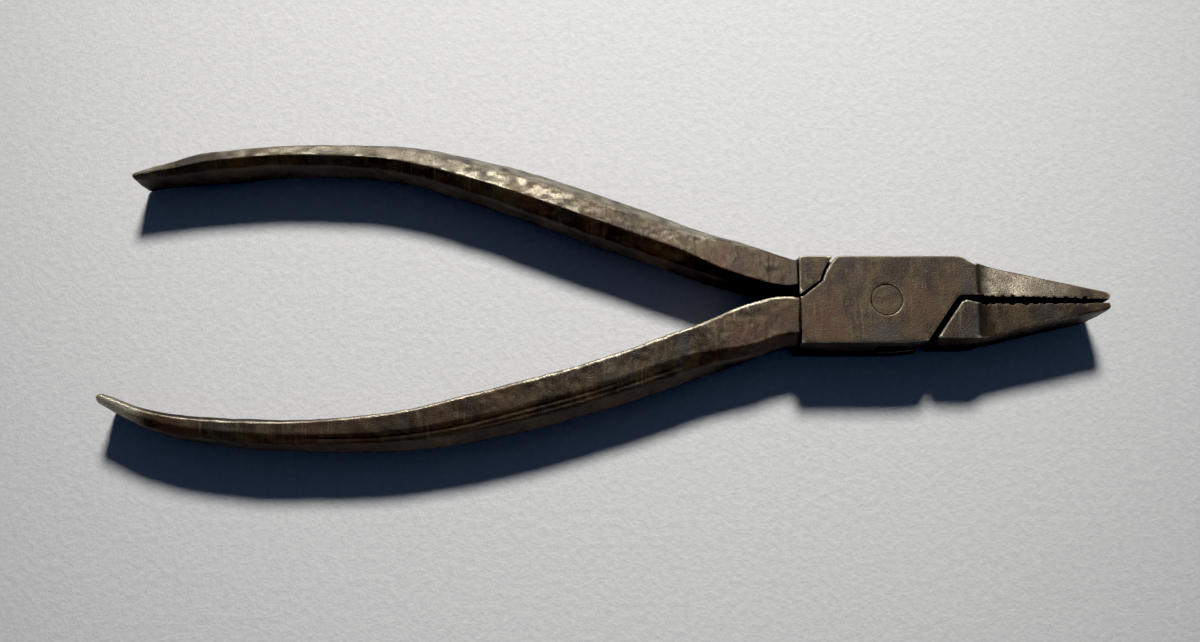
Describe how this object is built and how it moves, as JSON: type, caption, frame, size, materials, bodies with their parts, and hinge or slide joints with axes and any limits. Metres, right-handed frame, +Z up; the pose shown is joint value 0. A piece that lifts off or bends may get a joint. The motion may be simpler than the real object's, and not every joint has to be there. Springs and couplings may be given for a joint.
{
  "type": "flat-nose pliers",
  "caption": "Hand-forged flat-nose pliers with a box joint, a flush pivot rivet, serrated jaws and bare curved steel handles.",
  "frame": {"origin": "on the pivot axis, at the joint's underside", "axes": "+X from the pivot to the jaws, +Y across the joint towards the tongue lever's handle, +Z up out of the surface that the pliers lie on"},
  "size_m": [0.1271, 0.0406, 0.0093],
  "materials": {
    "forged_steel": "old forged and filed steel with a dark brown-grey patina, bright where edges have worn",
    "rivet_steel": "the same dark steel, peened and filed flush"
  },
  "bodies": {
    "box_lever": {"box_lever": "forged_steel", "pivot_rivet": "rivet_steel"},
    "tongue_lever": {"tongue_lever": "forged_steel"}
  },
  "joints": [
    {"name": "jaw_pivot", "type": "hinge", "parent": "box_lever", "child": "tongue_lever", "pos_m": [0, 0, 0], "axis": [0, 0, -1], "range_deg": [-0.7, 35]}
  ]
}
